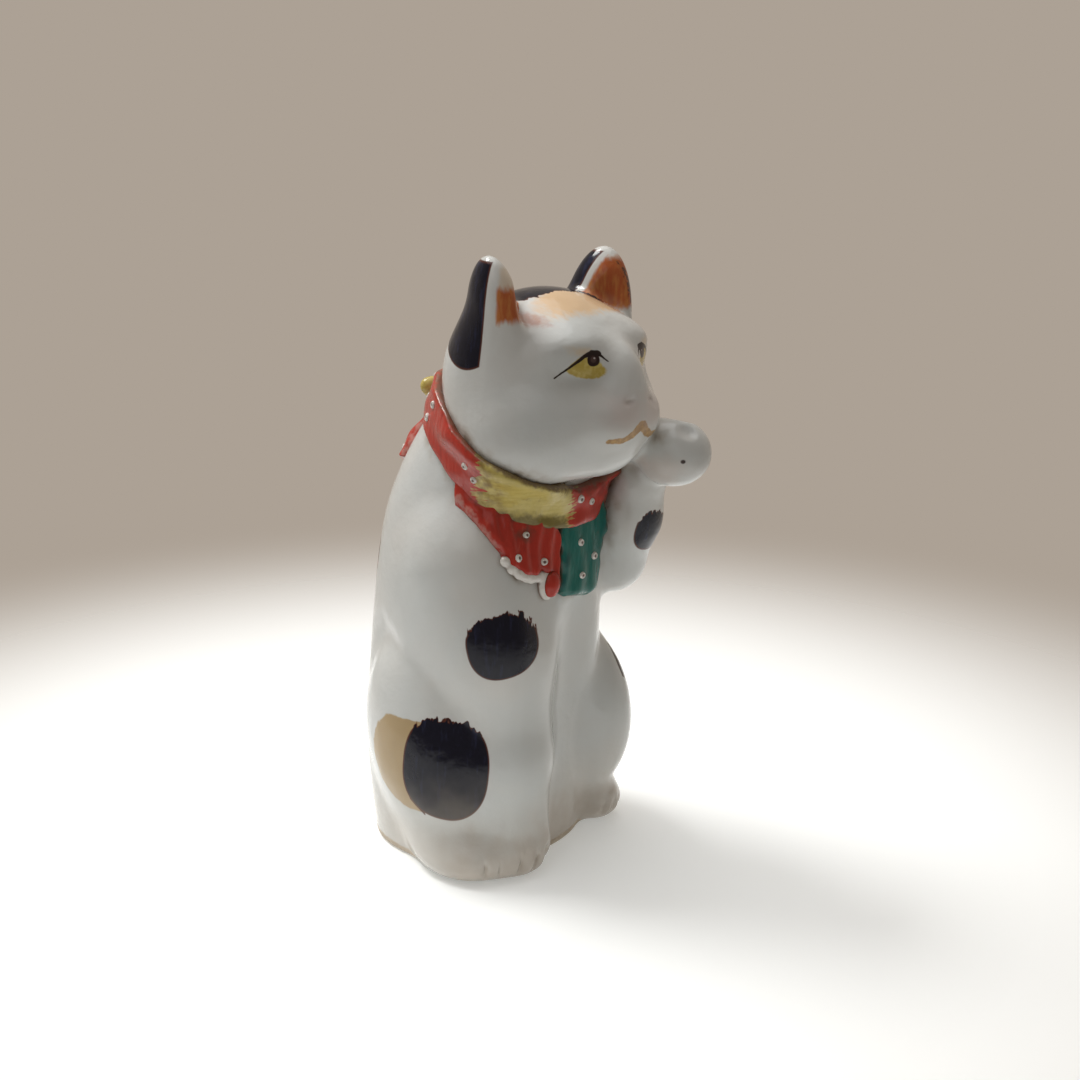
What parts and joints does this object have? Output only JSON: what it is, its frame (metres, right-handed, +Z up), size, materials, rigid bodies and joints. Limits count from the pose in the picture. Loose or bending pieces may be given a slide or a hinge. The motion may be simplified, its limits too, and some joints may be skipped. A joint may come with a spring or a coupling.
{
  "type": "beckoning cat figurine",
  "caption": "Seated hollow ceramic cat with its left paw raised to its chin, a scarf round its neck and a pleated bib on its chest.",
  "frame": {"origin": "middle of the footprint on the standing face, under the body", "axes": "+Z up from the standing face; the cat faces -Y and its own left is +X"},
  "size_m": [0.0596, 0.0764, 0.1332],
  "materials": {
    "white_glaze": "clear gloss over a white body, slightly blue, with painted patches",
    "unglazed_foot": "bare fired clay, matt and stained",
    "red_enamel": "glossy brushed enamel over glaze",
    "green_enamel": "thick glossy enamel over glaze",
    "yellow_enamel": "thin glossy enamel over glaze",
    "white_enamel": "small raised glossy dots"
  },
  "bodies": {
    "root": {"base_slab": "unglazed_foot", "torso_shell": "white_glaze", "head_shell": "white_glaze", "right_ear": "white_glaze", "left_ear": "white_glaze", "raised_left_arm": "white_glaze", "right_foreleg": "white_glaze", "right_hind_leg": "white_glaze", "left_hind_leg": "white_glaze", "tail": "white_glaze", "collar": "red_enamel", "bib_red_panel": "red_enamel", "bib_green_panel": "green_enamel", "hem_bead": "red_enamel", "nape_knot": "yellow_enamel", "scarf_tails": "red_enamel", "enamel_dots": "white_enamel"}
  },
  "joints": []
}
